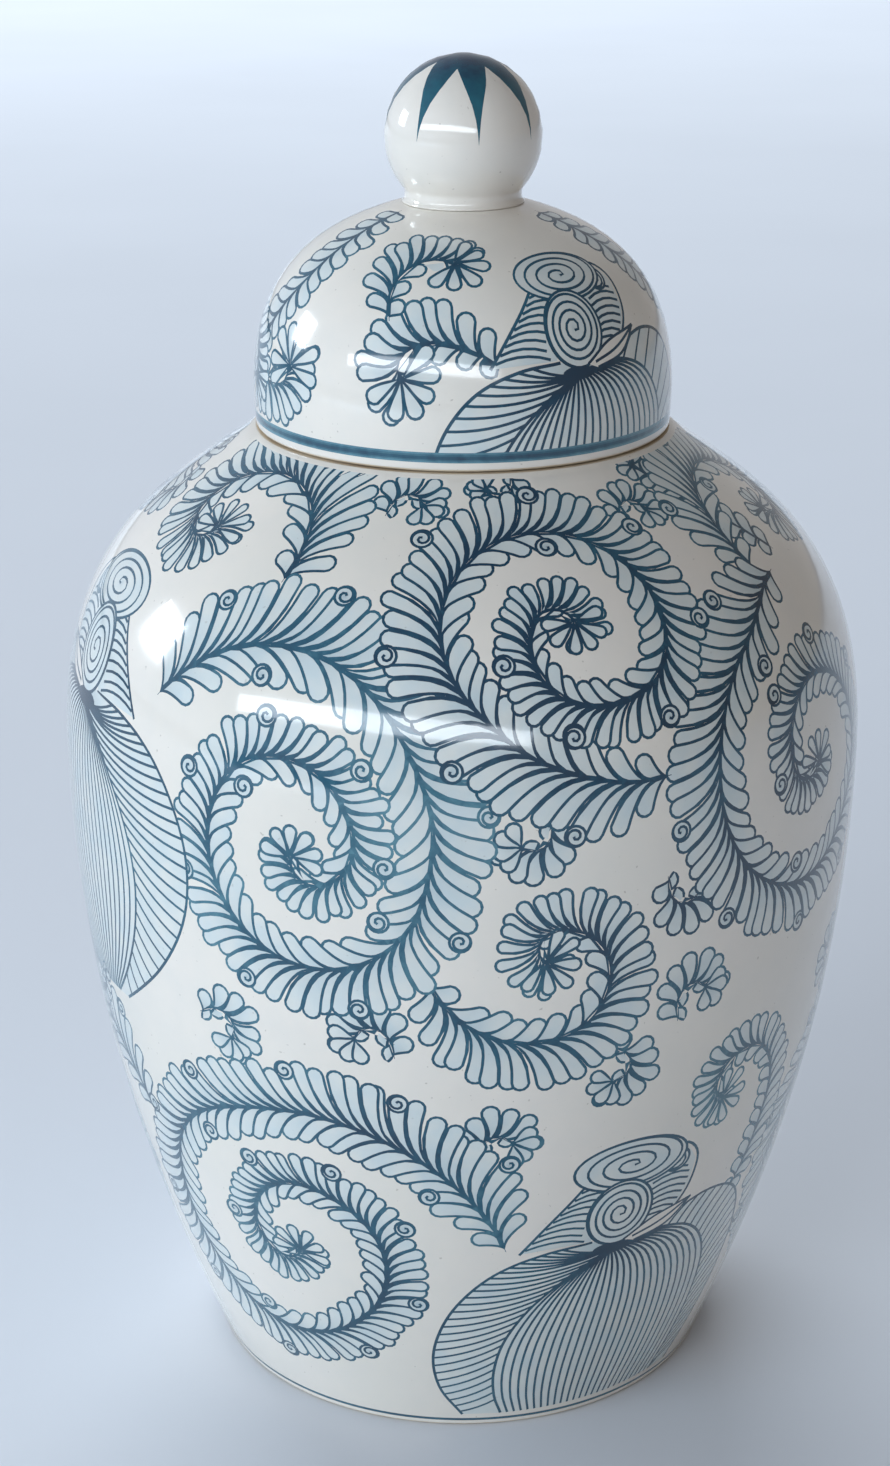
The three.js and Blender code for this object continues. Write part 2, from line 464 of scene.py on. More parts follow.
def lobe_outlines(length, half, lean, beside, bow):
    """A lobe's outline, its wash's outline, its tip and the way it points, all forward and outward from its
    root. Its wash is as wide at its foot as the way to the next root, so neighbours share one line."""
    stem = max(length - half, SHORTEST_STEM)
    tip = stem * np.array([math.cos(lean), math.sin(lean)])
    root = np.zeros(2)
    knee = 0.5 * stem * np.array([1, 0.09])
    toward = tip - knee
    toward /= np.hypot(*toward)
    back = np.array([-toward[1], toward[0]])
    behind = swept(root, tip + half * back, bow, 5)
    ahead = swept(beside * FOOT_OVERLAP, tip - half * back, bow, 3)
    facing = math.degrees(math.atan2(toward[1], toward[0]))
    cap = arc(tip, half, facing + 90, facing - 90, 6)[1:-1]
    edge = np.vstack([behind, cap, ahead[::-1]])

    # The line behind it starts thin at the root, and the wash keeps off the spine.
    pen = LINE * np.clip(np.linspace(0.25, 2.6, 9), 0, 1)
    behind = moved_left(swept(root, tip + half * back, bow, 8), -pen)
    ahead = moved_left(swept(beside, tip - half * back, bow, 4), LINE)
    cap = arc(tip, half - LINE, facing + 90, facing - 90, 5)[1:-1]
    if beside[0] > 1:
        slope = beside[1] / beside[0]
        behind = behind[behind[:, 1] - slope * behind[:, 0] > SPINE_HALF + 0.08]
        ahead = ahead[ahead[:, 1] - slope * beside[0] > SPINE_HALF + 0.05]
    elif lean < 0.3:
        behind, ahead = behind[behind @ back > NARROWEST], ahead[ahead @ back < -NARROWEST]
    else:
        behind, ahead = behind[3:], ahead[2:]
    inner = np.vstack([behind, cap, ahead[::-1]])
    return edge, inner, tip, toward


def lobe(painting, turn, along, heading, side, length, width, tone, lean, beside=None):
    """One lobe: it leaves its root along the heading and bends out to one side. Returns where its tip is
    and which way the tip points. beside is the way to the next lobe's root, where there is one."""
    jitter = RNG.normal(0, 1, 3)
    length = length * (1 + UNEVEN_SIZE * jitter[0])
    half = width / 2 * (1 + UNEVEN_SIZE * jitter[1]) + LINE / 2
    lean = math.radians(lean + UNEVEN_LEAN * jitter[2])
    foot, bow = (ROSETTE_FOOT, ROSETTE_BOW) if beside is None else (beside, ROW_BOW)
    outlines = lobe_outlines(length, half, lean, foot, bow)
    forward = np.array([math.cos(heading), math.sin(heading)])
    outward = side * np.array([-forward[1], forward[0]])
    edge, inner, tip, toward = (shape @ np.vstack([forward, outward]) for shape in outlines)
    root = (turn, along)
    reach = 0.75 * length + 1
    painting.paint(painting.surface.lay(edge, turn, along), INK, tone, root, reach)
    if len(inner) > 4:
        painting.paint(painting.surface.lay(inner, turn, along), WASH, tone, root, reach)
    return painting.surface.lay([tip], turn, along)[0], math.atan2(toward[1], toward[0])


def curl(painting, place, toward, side, tone, radius=CURL_RADIUS):
    """A snail curl at the tip of a lobe."""
    surface = painting.surface
    turn, along = place
    ring = arc((0, 0), radius, 0, 360, 16)[:-1]
    painting.paint(surface.lay(ring, turn, along), INK, tone, place, 2 * radius)
    painting.paint(surface.lay(ring * (1 - LINE / radius), turn, along), WASH, tone, place, radius)
    inner = spiral(radius - LINE / 2, 0.35, 1.35, math.degrees(toward) - side * 60, side, step=0.7)
    painting.paint(surface.lay(ribbon(inner, LINE), turn, along), INK, tone, place, 2 * radius)


def feather(
    painting, spine, hand, outer, inner, tone, curls=7, width=LOBE_WIDTH, rosette=6, end_width=0.7, keep=1.15
):
    """Lobes down both sides of a spine, all leaning towards its end. hand says which side is the outer one:
    1 is its left. outer and inner are the lobes' lengths at the start and at the end, and a larger keep
    holds the first length further along. curls says how many lobes apart curls sit on the outer side."""
    # Lobes grow over the first stretch and shrink towards the end. On the outside of a bend, where their
    # tips spread, their roots stand closer.
    drawn = []
    for side, lengths, lean in ((hand, outer, OUTER_LEAN), (-hand, inner, INNER_LEAN)):
        run, count = 0.8, 0
        while run < spine.length - 0.5:
            left = min(1, keep * (1 - run / spine.length))
            length = lengths[1] + (lengths[0] - lengths[1]) * left**0.9
            wide = width * (end_width + (1 - end_width) * min(1, 1.5 * left))
            grown = min(1.0, 0.6 + 0.4 * run / GROWN_AFTER)
            every = curls if side == hand else 2 * curls + 1
            curled = curls and count % every == FIRST_CURL and length > CURLED_FROM
            spread = 1 - side * spine.bend(run) * length * SPREADING
            step = wide / min(max(spread, WIDEST_APART), CLOSEST)
            drawn.append((run, side, length * grown, lean, wide, step, curled))
            run += step
            count += 1
    tips = []
    for run, side, length, lean, wide, step, curled in sorted(drawn):
        turn, along, heading = spine.at(run)
        beside = spine.beside(run, min(run + step, spine.length), side)
        length *= CURLED_LONGER if curled else 1
        tip = lobe(painting, turn, along, heading, side, length, wide, tone, lean, beside)
        if curled:
            tips.append((tip, side))
    for (place, toward), side in tips:
        curl(painting, place, toward, -side, tone)
    turn, along, heading = spine.at(spine.length)
    size = max(0.85 * outer[1], 3.0)
    for i in range(rosette):
        fan = hand * math.radians(ROSETTE_FIRST - ROSETTE_STEP * i)
        lobe(painting, turn, along, heading + fan, hand, size, width * end_width, tone, ROSETTE_LEAN)
    stalk(painting, spine, tone)


def stalk(painting, spine, tone):
    """The dark line down a feather's middle, thinner towards both ends."""
    at = np.linspace(0, spine.length, max(3, int(spine.length / 1.8)))
    turn, along, heading = (np.interp(at, spine.run, v) for v in (spine.turn, spine.along, spine.heading))
    half = SPINE_HALF * np.clip(at / 12, 0.5, 1) * np.clip((spine.length - at) / 8, 0.6, 1)
    radius = spine.surface.radius_at(along)
    across = -np.sin(heading) * half / radius
    up = np.cos(heading) * half
    right = np.column_stack([turn - across, along - up])
    left = np.column_stack([turn + across, along + up])
    middle = spine.at(spine.length / 2)
    painting.paint(np.vstack([right, left[::-1]]), INK, tone, middle[:2], 400)


def coiled(radii, exit_degrees, hand):
    """A coil about its eye. radii gives its radius after each turn of so many degrees, eased between."""
    turned, radius = np.array(radii, float).T
    angle = np.arange(0, turned[-1] + 1, 3)
    padded = np.pad(np.interp(angle, turned, radius), 8, mode="reflect", reflect_type="odd")
    eased = np.convolve(padded, np.ones(9) / 9, mode="same")[8:-8]
    direction = math.radians(exit_degrees) + hand * np.radians(angle)
    return resampled(np.column_stack([eased * np.cos(direction), eased * np.sin(direction)]), 1.0)


def scroll(painting, degrees, height, hand, exit_degrees, radii, tone, lobes=((17, 8.6), (13, 7.8)), **more):
    """A feathered coil about its eye. hand is 1 for one that winds in anticlockwise."""
    motif = Motif(painting, degrees, painting.surface.at_height(height), tone=tone)
    feather(painting, motif.spine(coiled(radii, exit_degrees, hand)), -hand, lobes[0], lobes[1], tone, **more)


def sprig(painting, degrees, height, heading, hand, tone, scale):
    """A small tuft: one short feather bent into an arch."""
    motif = Motif(painting, degrees, painting.surface.at_height(height), heading, hand, scale, tone)
    spine = motif.spine(through([(-3.2, -5.5), (-3.8, -1.8), (-2.2, 1.3), (0.8, 1.9), (2.5, 0.3)], 0.5))
    sizes = (8.6 * scale, 6.8 * scale), (3.2 * scale, 2.6 * scale)
    shape = {"width": 3.5 * scale, "rosette": 4, "end_width": 0.9, "keep": 1.5}
    feather(painting, spine, hand, *sizes, tone, curls=0, **shape)


def plume(painting, points, hand, tone, lobes, **more):
    """A feather along a line through places given in degrees and height."""
    surface = painting.surface
    places = [(math.radians(turn) * UNROLL_RADIUS, surface.at_height(height)) for turn, height in points]
    places = through(places, 1.0)
    places[:, 0] /= UNROLL_RADIUS
    feather(painting, Spine(surface, places), hand, *lobes, tone, **more)


def oval_spiral(motif, centre, size, turns, exit_degrees, hand):
    """A flat coil of line in an oval, closed by its own outline."""
    centre = np.array(centre, float)
    squash = size[1] / size[0]
    edge = arc((0, 0), size[0], 0, 360, 36)[:-1] * (1, squash) + centre
    motif.fill(edge, INK, centre, 1)
    inner_squash = (size[1] - LINE) / (size[0] - LINE)
    shrunk = arc((0, 0), size[0] - LINE, 0, 360, 36)[:-1] * (1, inner_squash) + centre
    motif.fill(shrunk, WASH, centre, 1)
    path = spiral(size[0] - LINE / 2, 0.5, turns, exit_degrees, hand, squash, step=1.2, ease=0.9) + centre
    motif.line(path, root=centre, reach=1)


def hatch(motif, start_line, end_line, count, sag, reach=10.0, starts=(0, 1), ends=(0, 1)):
    """Lines between two edges, each bowed a little. starts and ends say which stretch of each edge is
    used."""
    for i in range(count):
        share = (i + 0.5) / count
        tips = []
        for edge, (first, last) in ((start_line, starts), (end_line, ends)):
            at = max(first + (last - first) * share, 0)
            tips.append(part_way(edge, np.linspace(0, 1, len(edge)), at))
        across = tips[1] - tips[0]
        middle = (tips[0] + tips[1]) / 2 + sag * np.array([-across[1], across[0]])
        control = 2 * middle - (tips[0] + tips[1]) / 2
        steps = max(3, int(np.hypot(*across) / 2.6) + 1)
        motif.line(bent(tips[0], control, tips[1], steps), reach=reach)


def pod(
    painting, degrees, height, tone, depth,
    mirror=1, scale=1.0, closing=0.0, front_lines=25, side_lines=27, crown_scale=1.0,
):
    """A ribbed pod. Its ribs run together at the top, under a crown of two coils. closing says how far its
    foot is drawn in, and a foot that is drawn in has a tail."""
    motif = Motif(painting, degrees, painting.surface.at_height(height), 0, mirror, scale, tone)
    deep = depth / scale

    def hang(points, step=1.6):
        """Lines of the pod's body, stretched to its depth and drawn in towards its foot."""
        line = through(points, step)
        down = np.clip(-line[:, 1] / POD_DRAWN_DEPTH, 0, 1)
        line[:, 0] *= np.sqrt(1 - closing * down**2.2)
        line[:, 1] = np.where(line[:, 1] < 0, line[:, 1] * deep / POD_DRAWN_DEPTH, line[:, 1])
        return line

    left = hang([(-5, 3), (-16, 1.5), (-27, -3.5), (-35, -13), (-38.5, -25), (-36.5, -36), (-30, -45)])
    seam = hang([(-1, -0.5), (-9, -5.5), (-17, -13), (-22, -22), (-23.5, -31), (-22.5, -39), (-20, -45)])
    right = hang([(1, 0.5), (12, 2), (23, -2), (30, -11), (32, -23), (30, -35), (26, -45)])
    edge = hang([(12, 4.5), (25, 7.5), (36, 3.5), (42, -8), (42.5, -22), (39, -34), (33, -45)])

    body = np.vstack([left, edge[::-1], [(0, 2.5)]])
    motif.fill(body, WASH, (0, 0), 13)
    hatch(motif, left, seam, side_lines, RIB_SAG, RIB_REACH, (0.08, 1.0), (-0.30, 0.93))
    hatch(motif, edge, right, side_lines - 3, RIB_SAG, RIB_REACH, (0.0, 0.95), (0.10, 1.05))

    # The front ribs run from the top to the foot between the two seams.
    shares = np.linspace(0, 1, RIB_POINTS)
    first, last = (part_way(line, np.linspace(0, 1, len(line)), shares) for line in (seam, right))
    for i in range(1, front_lines):
        rib = first + (last - first) * (i / front_lines)
        motif.line(rib[1:], reach=RIB_REACH)
    for line in (left, seam, right, edge):
        motif.line(line, LINE * 1.15, reach=RIB_REACH)

    pool = arc((0, 0.3), 1, 0, 360, 18)[:-1] * (4.6, 1.7) + (0, -0.4)
    motif.fill(pool, INK, (0, 0), 30)
    crown(Motif(painting, degrees, motif.along, 0, mirror, scale * crown_scale, tone))
    if closing:
        tail(painting, motif, deep)


def wing(motif, outline, inner, outer, rim, count, sag):
    """One hatched wing of a crown."""
    motif.fill(outline, WASH, (0, 0), 12)
    hatch(motif, through(inner), through(outer), count, sag)
    motif.line(through(rim), LINE * 1.1)


def crown(motif):
    """What stands on a pod: hatched wings, two coils, a small curl and a bare leaf."""
    wing(
        motif,
        [(-19, 2.2), (-15, 8), (-10, 14.5), (-8, 17.5), (-1, 18), (-5, 3)],
        [(-19, 2.2), (-15, 8), (-10, 14.5), (-8, 17.5)],
        [(-6, 2.5), (-7, 6), (-5, 12), (-1, 18)],
        [(-19.5, 2), (-15, 8.5), (-10.5, 14.5), (-8, 18)],
        count=9,
        sag=0.1,
    )
    wing(
        motif,
        [(6, 3), (13, 5), (16.5, 12), (17, 18), (14.5, 22), (11, 22), (5, 16)],
        [(5, 5), (7, 10), (7, 15), (9, 20)],
        [(12, 5), (15, 10), (16, 15), (13, 20)],
        [(10, 23), (14.5, 22.8), (17.5, 18.5), (16.5, 11), (12.5, 4.5)],
        count=10,
        sag=0.12,
    )
    oval_spiral(motif, (12.2, 19.2), (3.2, 3.0), 1.9, 90, 1)
    oval_spiral(motif, (1.8, 21.5), (12.6, 6.4), 3.6, 150, -1)
    oval_spiral(motif, (0.6, 9.4), (7.4, 8.6), 4.0, -100, -1)
    over = through([(2.5, 1.6), (9, 5.6), (18, 7.6)], 1.5)
    under = through([(18, 7.6), (12.5, 2.6), (5, 0.6)], 1.5)
    vein = through([(4.5, 1.8), (11, 3.9), (18, 7.6)], 1.5)
    motif.fill(np.vstack([over, under]), GROUND, (0, 0), 1)
    for line in (over, under, vein):
        motif.line(line)


def tail(painting, motif, deep):
    """The small flourish that hangs from a free pod's foot."""
    points = [(-1, 2), (2, -3), (6.5, -6), (10.5, -4.5), (10.5, -1)]
    spine = motif.spine(through([(x, -deep + y) for x, y in points], 0.8))
    sizes = (5.5, 4.5), (4.0, 3.4)
    feather(painting, spine, -motif.mirror, *sizes, motif.tone, curls=0, width=2.9, rosette=5)


# ---------------------------------------------------------------- the ornament of each piece
# Each coil's radius after each turn of so many degrees.
TOP_COIL = ((0, 38), (30, 29), (70, 23.5), (330, 23.5), (380, 16), (430, 8.5), (480, 5), (640, 4.2))
SIDE_COIL = (
    (0, 50), (30, 47), (60, 41), (100, 30), (150, 24), (375, 25),
    (405, 21), (450, 13), (490, 9), (540, 6), (690, 4.5),
)
SMALL_COIL = ((0, 27), (50, 23.5), (95, 20), (140, 13), (170, 8.5), (205, 5), (270, 3.5), (400, 3.5))
SHOULDER_COIL = ((0, 31), (30, 27), (75, 19), (105, 14.5), (170, 8.5), (220, 5), (360, 4))
LOW_COIL = (
    (0, 51), (60, 42), (90, 36), (165, 31), (250, 31), (300, 26),
    (380, 24), (425, 20), (455, 14), (485, 9), (540, 5.5), (690, 4.5),
)
EDGE_COIL = ((0, 40), (30, 31), (150, 29), (260, 29), (330, 19), (395, 11), (445, 7), (600, 5))
BRANCH_COIL = ((0, 37), (25, 24), (60, 16.5), (90, 12.5), (145, 7.5), (215, 4.5), (320, 4))

# The body's small tufts: degrees, height, heading, hand, tone and scale.
TUFTS = (
    (-35, 108, 290, 1, 0.5, 1.12),
    (-13, 112, 20, -1, 0.5, 1.12),
    (9, 157, 200, 1, 0.25, 1.12),
    (31, 141, 200, -1, 0.3, 1.12),
    (33, 117, 0, 1, 0.55, 1.12),
    (22, 102, 240, 1, 0.45, 1.12),
    (5, 86, 0, 1, 0.5, 1.12),
    (-12, 216, 340, 1, 0.35, 0.95),
    (8, 218, 170, 1, 0.35, 0.8),
    (39, 213, 330, 1, 0.35, 0.95),
    (71, 106, 60, 1, 0.5, 1.12),
    (88, 120, 120, -1, 0.5, 1.12),
    (95, 208, 200, 1, 0.4, 1.12),
)

# The lid's feathers, through places given in degrees and height, or in millimetres round a curl's own place
LEFT_PLUME = (
    (-57, 268.3), (-58, 263), (-62, 255), (-70, 246), (-73, 240), (-66, 234.5), (-57, 235), (-54, 239),
)
RIGHT_PLUME = ((66, 268), (72, 262), (80, 254), (90, 246), (101, 240), (104, 234))
LOW_CURL = ((17, 2.5), (12, 5.0), (6, 6.6), (1, 5.6), (-1.2, 2.6), (-0.4, 0.4))
HIGH_CURL = ((-4.5, -6.5), (-5.2, -2), (-4.4, 2), (-2, 5), (1.5, 6.2), (5, 5.6))


def paint_body(surface):
    painting = Painting(surface, (0.8, 1.2))
    for tuft in TUFTS:
        sprig(painting, *tuft)
    scroll(painting, 88, 56, 1, 20, LOW_COIL, 0.5)
    scroll(painting, 43, 90, 1, -76, BRANCH_COIL, 0.6, ((10, 9), (7.5, 6)), curls=0)
    plume(painting, [(66, 200), (60, 207), (54, 213), (48, 219)], -1, 0.35, ((9, 6), (7, 5)), curls=0)
    scroll(painting, 80, 206, -1, 200, SHOULDER_COIL, 0.4)
    scroll(painting, -57, 208, 1, -18, SHOULDER_COIL, 0.35, ((18, 10), (12, 6)), curls=0, keep=1.4)
    scroll(painting, 55, 162, 1, 78, EDGE_COIL, 0.25)
    scroll(painting, -31, 53, 1, 4, LOW_COIL, 0.5)
    scroll(painting, 12, 133, 1, -165, SMALL_COIL, 0.45, ((15, 10), (11, 6.5)), curls=0, keep=1.3)
    scroll(painting, -20, 151, -1, 148, SIDE_COIL, 0.6, ((19, 8.6), (17, 8.2)), width=4.1, keep=1.0)
    scroll(painting, 14, 196, -1, -57, TOP_COIL, 0.2)
    pod(painting, 25, 53, 0.3, depth=52, crown_scale=1.1)
    pod(painting, -67, 168, 0.35, depth=66, mirror=-1, scale=1.22, closing=0.85)
    painting.band(surface.low + 0.4, surface.low + 1.3, 0.5)
    return painting


def lid_curl(painting, degrees, height, points, hand, lobes, **more):
    """A feather curled round a place on the lid."""
    motif = Motif(painting, degrees, painting.surface.at_height(height), scale=1.2)
    feather(painting, motif.spine(through(points, 0.6)), hand, *lobes, 0.35, curls=0, rosette=6, **more)


def paint_lid(surface):
    painting = Painting(surface, (1.0, 1.0))
    ending = {"width": 3.6, "rosette": 7, "end_width": 0.9}
    plume(painting, LEFT_PLUME, -1, 0.45, ((9, 11), (9, 6)), curls=0, **ending)
    plume(painting, RIGHT_PLUME, 1, 0.4, ((9, 10), (8, 6)), curls=0, width=3.4)
    lid_curl(painting, -16, 239.5, LOW_CURL, -1, ((13.0, 10.5), (7, 6.5)), width=3.8, end_width=0.9)
    lid_curl(painting, -14, 257, HIGH_CURL, 1, ((12, 9), (7.5, 6)), width=3.4, end_width=0.85)
    pod(painting, 32, 240, 0.25, 40, scale=0.85, front_lines=21, side_lines=17, crown_scale=1.18)
    # The rim's band darkens towards its middle.
    for low, high, tone in ((0.9, 3.1, 0.85), (1.3, 2.7, 0.55), (1.6, 2.3, 0.25)):
        painting.band(surface.low + low, surface.low + high, tone)
    return painting


# ---------------------------------------------------------------- meshes
def flat_area(outline):
    x, y = outline.T
    return (x * np.roll(y, -1) - y * np.roll(x, -1)).sum() / 2


def encloses(outline, points):
    """Which of some points lie inside an outline."""
    (x, y), (ahead_x, ahead_y) = outline.T, np.roll(outline, -1, axis=0).T
    px, py = points[:, 0][:, None], points[:, 1][:, None]
    crossing = (y > py) != (ahead_y > py)
    rise = np.where(ahead_y == y, 1, ahead_y - y)
    left = px < x + (py - y) / rise * (ahead_x - x)
    return (crossing & left).sum(axis=1) % 2 == 1


def top_shapes(corner, tris, sources, outlines):
    """Which shape lies on top of each triangle, -1 where there is none. The few outlines that cross
    themselves can claim triangles far outside them, so theirs are found again one by one."""
    a, b, c = (corner[tris[:, k]] for k in range(3))
    size = abs((b[:, 0] - a[:, 0]) * (c[:, 1] - a[:, 1]) - (b[:, 1] - a[:, 1]) * (c[:, 0] - a[:, 0])) / 2
    covered = np.zeros(len(outlines))
    for area, shapes in zip(size.tolist(), sources):
        for k in shapes:
            covered[k] += area
    spilt = {k for k, outline in enumerate(outlines) if covered[k] > 1.02 * flat_area(outline) + 0.05}
    top = np.array([max((k for k in shapes if k not in spilt), default=-1) for shapes in sources])
    centre = (a + b + c) / 3
    for k in sorted(spilt):
        low, high = outlines[k].min(axis=0), outlines[k].max(axis=0)
        near = np.flatnonzero(((centre > low) & (centre < high)).all(axis=1))
        near = near[encloses(outlines[k], centre[near])]
        top[near] = np.maximum(top[near], k)
    return top


def outline_edges(tris, kinds):
    """The edges between triangles of different kinds, and the edges of the whole sheet."""
    pairs = np.sort(np.concatenate([tris[:, [0, 1]], tris[:, [1, 2]], tris[:, [2, 0]]]), axis=1)
    kind = np.tile(kinds, 3)
    order = np.lexsort((pairs[:, 1], pairs[:, 0]))
    pairs, kind = pairs[order], kind[order]
    same = (pairs[1:] == pairs[:-1]).all(axis=1)
    twin = np.concatenate([same, [False]]) | np.concatenate([[False], same])
    between = same & (kind[1:] != kind[:-1])
    return pairs[1:][between], pairs[~twin]


def straightened(corner, edges, keep):
    """The same outlines without the corners that hardly turn, where that leaves no edge too long."""
    beside = {}
    for a, b in edges.tolist():
        beside.setdefault(a, set()).add(b)
        beside.setdefault(b, set()).add(a)
    spot = corner.tolist()
    for _ in range(4):
        still = set()
        for k in list(beside):
            near = beside[k]
            if len(near) != 2 or k in still or keep[k]:
                continue
            a, b = near
            if b in beside[a]:
                continue
            (ax, ay), (bx, by), (kx, ky) = spot[a], spot[b], spot[k]
            chord = math.hypot(bx - ax, by - ay)
            if chord > LONGEST_EDGE or abs((bx - ax) * (ky - ay) - (by - ay) * (kx - ax)) > STRAIGHT * chord:
                continue
            for end, other in ((a, b), (b, a)):
                beside[end].discard(k)
                beside[end].add(other)
            del beside[k]
            still |= {a, b}
    return np.array([(a, b) for a, near in beside.items() for b in near if a < b])


def wall_grid(surface):
    """An even grid of corners over one repeat of the unrolled wall, row by row."""
    edge = REPEAT / 2 * UNROLL_RADIUS
    rows = max(2, int(round((surface.high - surface.low) / WALL_ROW)))
    xs = np.linspace(-edge, edge, COLUMNS // 2 + 1)
    ys = np.linspace(surface.low, surface.high, rows + 1)
    return np.array([[(x, y) for x in xs] for y in ys])


def links(line):
    """The edges between the neighbours in a row of corner numbers."""
    return list(zip(line[:-1].tolist(), line[1:].tolist()))


def cut_along_all(grid, outlines):
    """Cuts the unrolled wall along all its shapes' outlines. Returns its corners, its triangles, and which
    shape lies on top of each (-1 where there is none)."""
    index = np.arange(grid[..., 0].size).reshape(grid.shape[:2])
    border = links(index[0]) + links(index[-1]) + links(index[:, 0]) + links(index[:, -1])
    ends = np.cumsum([index.size] + [len(outline) for outline in outlines]).tolist()
    faces = [list(range(*span)) for span in zip(ends, ends[1:])]
    flat = [Vector(p) for p in np.vstack([grid.reshape(-1, 2), *outlines])]
    verts, _, tris, _, _, sources = delaunay_2d_cdt(flat, border, faces, 0, 1e-3, True)
    corner = np.array([tuple(v) for v in verts])
    tris = np.array(tris)
    top = top_shapes(corner, tris, sources, outlines)
    centre = corner[tris].mean(axis=1)
    inside = ((centre > grid[0, 0]) & (centre < grid[-1, -1])).all(axis=1)
    return corner, tris[inside], top[inside]


def cut_along_shown(grid, corner, shown):
    """Cuts the wall again, only along the outlines that show, with grid corners where there is room."""
    (left, bottom), (right, top) = grid[0, 0], grid[-1, -1]
    used = np.unique(shown)
    busy = {(int(x), int(y)) for x, y in corner[used]}
    free = [
        (x, y)
        for x, y in grid.reshape(-1, 2)
        if abs(x) > right - 1e-6
        or y in (bottom, top)
        or not any((int(x) + i, int(y) + j) in busy for i in (-1, 0, 1) for j in (-1, 0, 1))
    ]
    number = np.full(len(corner), -1)
    number[used] = np.arange(len(used))
    flat = np.vstack([corner[used], free])
    edges = number[shown].tolist()
    for on_side in (
        flat[:, 1] < bottom + 1e-4,
        flat[:, 1] > top - 1e-4,
        flat[:, 0] < left + 1e-4,
        flat[:, 0] > right - 1e-4,
    ):
        side = np.flatnonzero(on_side)
        edges += links(side[np.argsort(flat[side] @ (1.0, 1.0))])
    verts, _, tris, _, _, _ = delaunay_2d_cdt([Vector(p) for p in flat], edges, [], 0, 1e-4, True)
    return np.array([tuple(v) for v in verts]), np.array(tris)


def cut_wall(painting):
    """Cuts one repeat of the unrolled wall along the outlines of its shapes. Returns the places of its
    corners, its triangles, and which shape lies on top of each (-1 where there is none)."""
    grid = wall_grid(painting.surface)
    outlines = [shape[0] * (UNROLL_RADIUS, 1) for shape in painting.shapes]
    outlines = [flat[::-1] if flat_area(flat) < 0 else flat for flat in outlines]
    corner, tris, top = cut_along_all(grid, outlines)

    # Only the edges between two different looks show.
    styles = {}
    look = [styles.setdefault((kind, tone), len(styles)) for _, kind, tone, _, _ in painting.shapes] + [-1]
    shown, rim = outline_edges(tris, np.array(look)[top])
    on_rim = np.zeros(len(corner), bool)
    on_rim[rim] = True
    new_corner, new_tris = cut_along_shown(grid, corner, straightened(corner, shown, on_rim))

    # Each new triangle looks like the old one that its middle lies on.
    raised = np.pad(corner, ((0, 0), (0, 1))).tolist()
    finder = BVHTree.FromPolygons(raised, tris.tolist(), all_triangles=True)
    down = Vector((0, 0, -1))
    found = [finder.ray_cast(Vector((x, y, 1)), down)[2] for x, y in new_corner[new_tris].mean(axis=1)]
    found = np.array([-1 if k is None else k for k in found])
    new_tris, found = new_tris[found >= 0], found[found >= 0]
    return new_corner / (UNROLL_RADIUS, 1), new_tris, top[found]


def bake_map(turn, along, region, low, high):
    """Where a place lies on the map that colours are baked to. Each region has a strip of its own."""
    across = (np.asarray(turn) - FIRST_TURN) / TAU
    up = (np.asarray(along) - low) / (high - low)
    return np.stack([0.002 + 0.996 * across, (region + 0.02 + 0.96 * up) / BAKE_STRIPS], axis=-1)


def wall_paint(painting, places, tris, top):
    """For each corner of the wall's triangles, how light its ink is and how much colour has pooled there.
    Also each triangle's kind of paint."""
    shapes = painting.shapes
    kinds = np.array([s[1] for s in shapes] + [GROUND])
    tones = np.array([s[2] for s in shapes] + [0.5])
    roots = np.array([s[3] for s in shapes] + [(0, 0)], float)
    reaches = np.array([s[4] for s in shapes] + [0.01])
    corner = places[tris]
    radius = painting.surface.radius_at(corner[..., 1])
    across = (corner[..., 0] - roots[top][:, None, 0]) * radius
    up = corner[..., 1] - roots[top][:, None, 1]
    pool = np.clip(1 - np.hypot(across, up) / reaches[top][:, None], 0, 1)
    tone = np.broadcast_to(tones[top][:, None], pool.shape)
    return np.stack([tone, pool, np.zeros_like(pool)], axis=-1), kinds[top]


def lathe_rows(alongs):
    """A grid of quads between rows of the surface. Returns its places and its faces."""
    turns = np.linspace(FIRST_TURN, FIRST_TURN + TAU, COLUMNS + 1)
    places = np.array([(turn, along) for along in alongs for turn in turns])
    index = np.arange(len(places)).reshape(len(alongs), COLUMNS + 1)
    quads = np.stack([index[:-1, :-1], index[:-1, 1:], index[1:, 1:], index[1:, :-1]], axis=-1)
    return places, quads.reshape(-1, 4)


def wall_sheets(painting):
    """The painted wall, one sheet for each repeat: its places, faces, kinds of paint, paint and baked map."""
    surface = painting.surface
    cell, tris, top = cut_wall(painting)
    paint, kinds = wall_paint(painting, cell, tris, top)
    for repeat in range(round(TAU / REPEAT)):
        places = cell + (repeat * REPEAT, 0)
        corner = places[tris]
        fit = bake_map(corner[..., 0], corner[..., 1], kinds[:, None], surface.low, surface.high)
        yield places, tris, kinds, paint.reshape(-1, 3), fit.reshape(-1, 2)


def plain_sheets(surface, bare):
    """The rest of the profile, below the painted wall and past its top, in the same form."""
    below = surface.along[surface.along < surface.low - 1e-6]
    above = surface.along[surface.along > surface.high + 1e-6]
    for alongs in (np.append(below, surface.low), np.insert(above, 0, surface.high)):
        places, quads = lathe_rows(alongs)
        corner = places[quads]
        middle = corner[..., 1].mean(axis=1)
        kinds = np.where(bare(surface.radius_at(middle), surface.height_at(middle)), CLAY, GROUND)
        fit = bake_map(corner[..., 0], corner[..., 1], LATHE_STRIP, 0, surface.along[-1])
        yield places, quads, kinds, np.tile(PLAIN_PAINT, (quads.size, 1)), fit.reshape(-1, 2)


